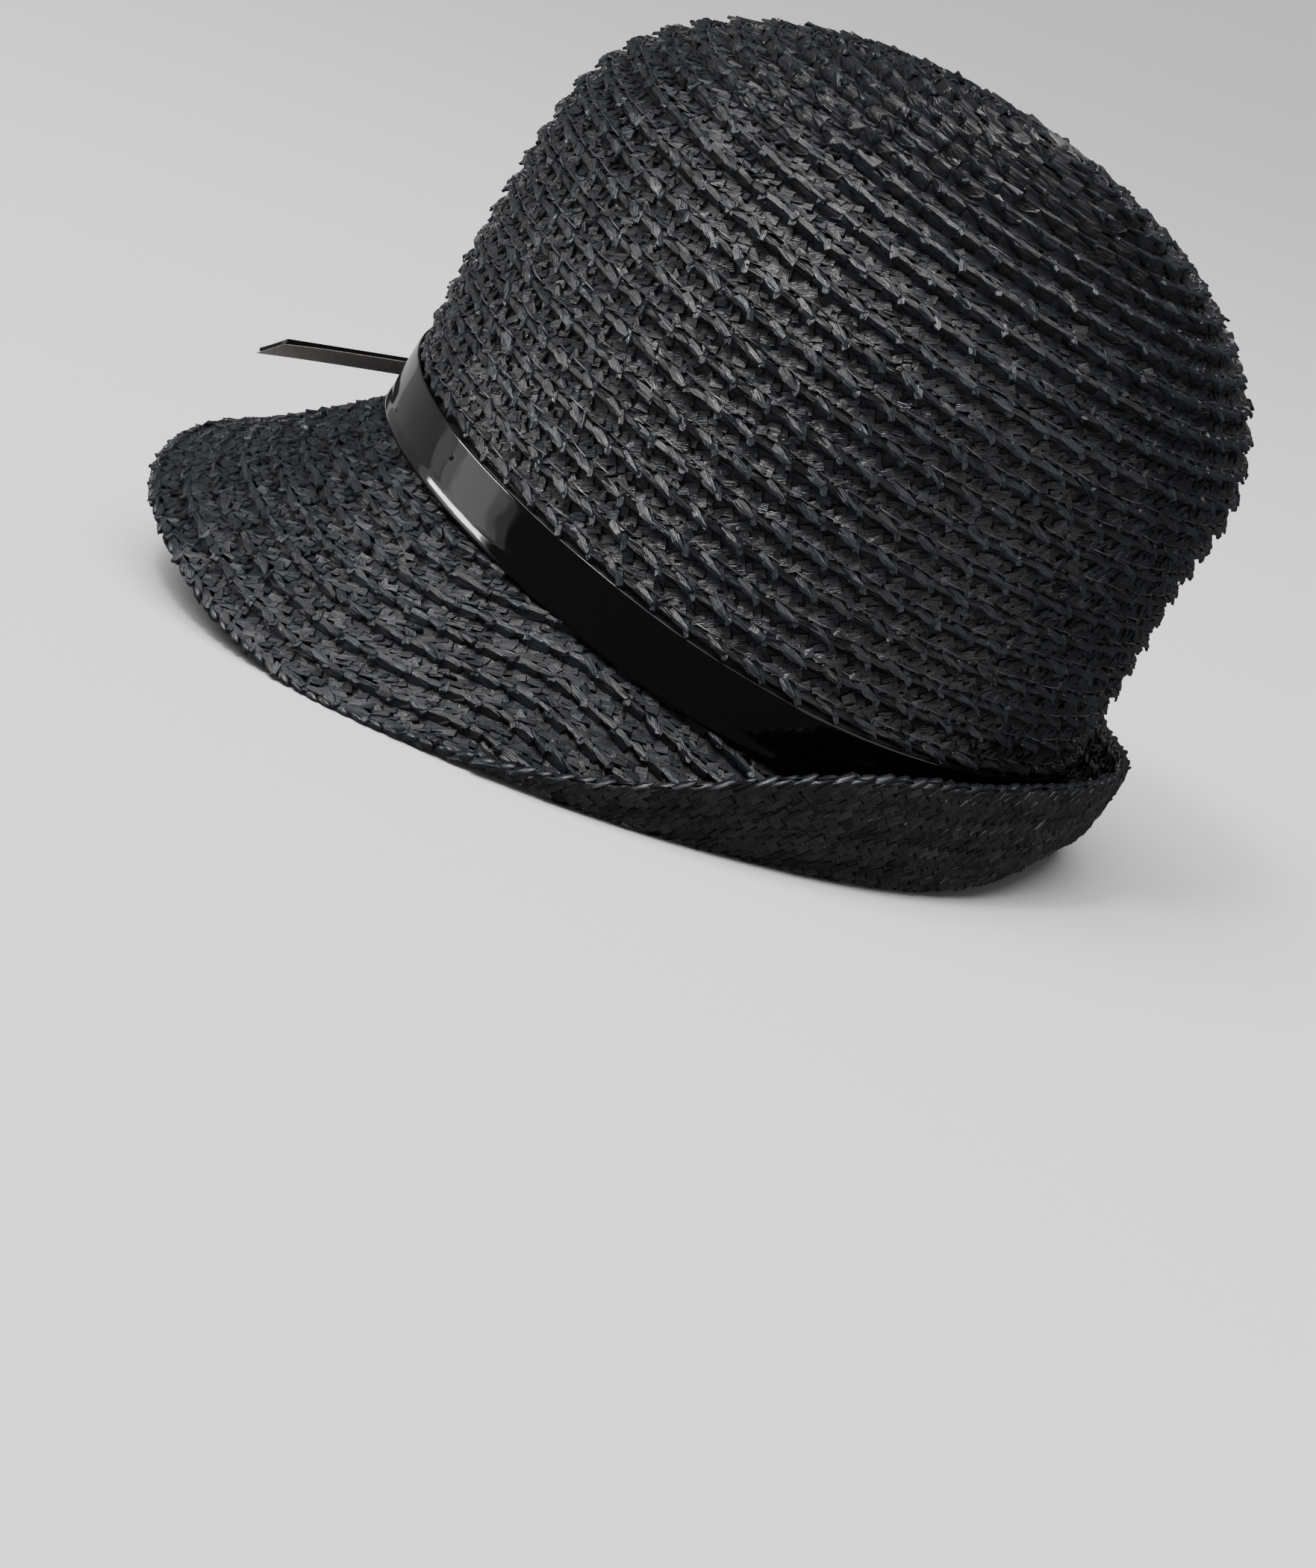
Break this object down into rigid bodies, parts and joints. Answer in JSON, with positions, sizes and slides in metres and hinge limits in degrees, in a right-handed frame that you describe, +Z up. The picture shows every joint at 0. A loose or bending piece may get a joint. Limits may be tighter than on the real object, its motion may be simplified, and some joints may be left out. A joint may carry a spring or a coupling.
{
  "type": "straw fedora hat with patent band",
  "caption": "Black plaited straw hat with a tall domed crown, a brim dipped in front and rolled up behind, and a glossy patent band with a free end at the front.",
  "frame": {"origin": "under the middle of the hat's box, on the surface it stands on", "axes": "+Z up, -Y the front of the hat, +X the wearer's left"},
  "size_m": [0.2206, 0.2564, 0.1713],
  "materials": {
    "straw": "semi-gloss plaited straw",
    "patent": "gloss"
  },
  "bodies": {
    "root": {"crown": "straw", "brim": "straw", "band": "patent", "knot": "patent", "strap": "patent"}
  },
  "joints": []
}
